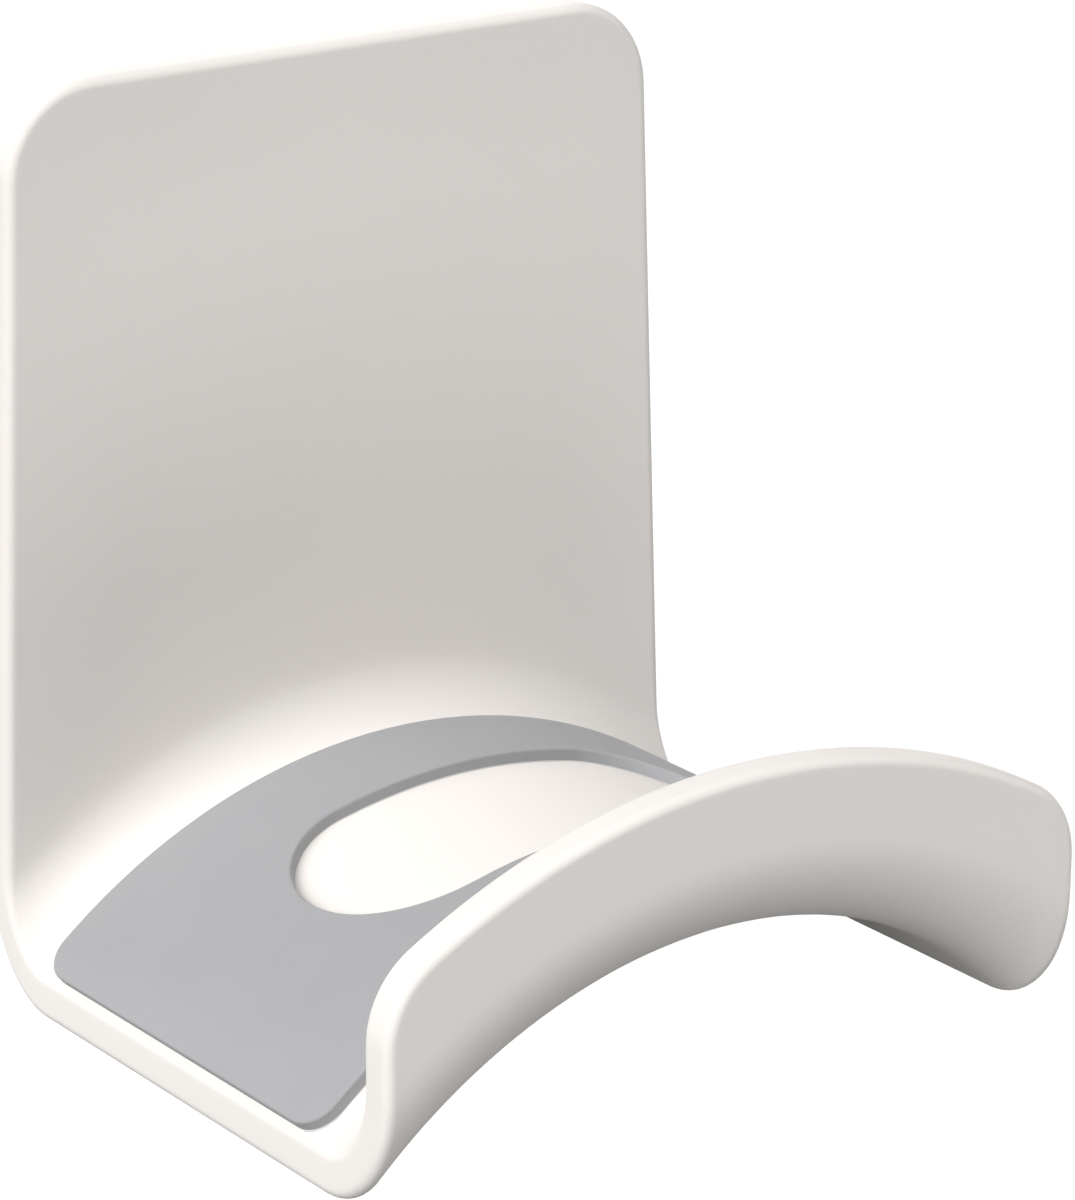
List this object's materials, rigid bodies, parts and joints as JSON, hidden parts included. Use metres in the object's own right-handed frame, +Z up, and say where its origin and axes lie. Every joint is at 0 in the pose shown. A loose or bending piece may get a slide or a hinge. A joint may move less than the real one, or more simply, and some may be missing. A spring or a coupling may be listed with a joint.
{
  "type": "adhesive headphone hook",
  "caption": "Wall hook for headphones: a white plate on foam tape, a broad arched saddle with a grey grip mat, and a turned-up front lip.",
  "frame": {"origin": "centre of the mounting tape's rear face, which lies on the wall", "axes": "+Y into the wall, so the hook's front faces -Y; +Z up; X across the hook"},
  "size_m": [0.0654, 0.0564, 0.0737],
  "materials": {
    "moulded_abs": "fine matte moulded white",
    "grey_silicone": "matte grey silicone",
    "mat_adhesive": "clear adhesive film",
    "tape_adhesive": "tacky clear acrylic",
    "tape_foam": "white closed-cell foam"
  },
  "bodies": {
    "root": {"hook_body": "moulded_abs", "grip_mat": "grey_silicone", "mat_adhesive_film": "mat_adhesive", "tape_front_adhesive": "tape_adhesive", "tape_foam_core": "tape_foam", "tape_rear_adhesive": "tape_adhesive"}
  },
  "joints": []
}
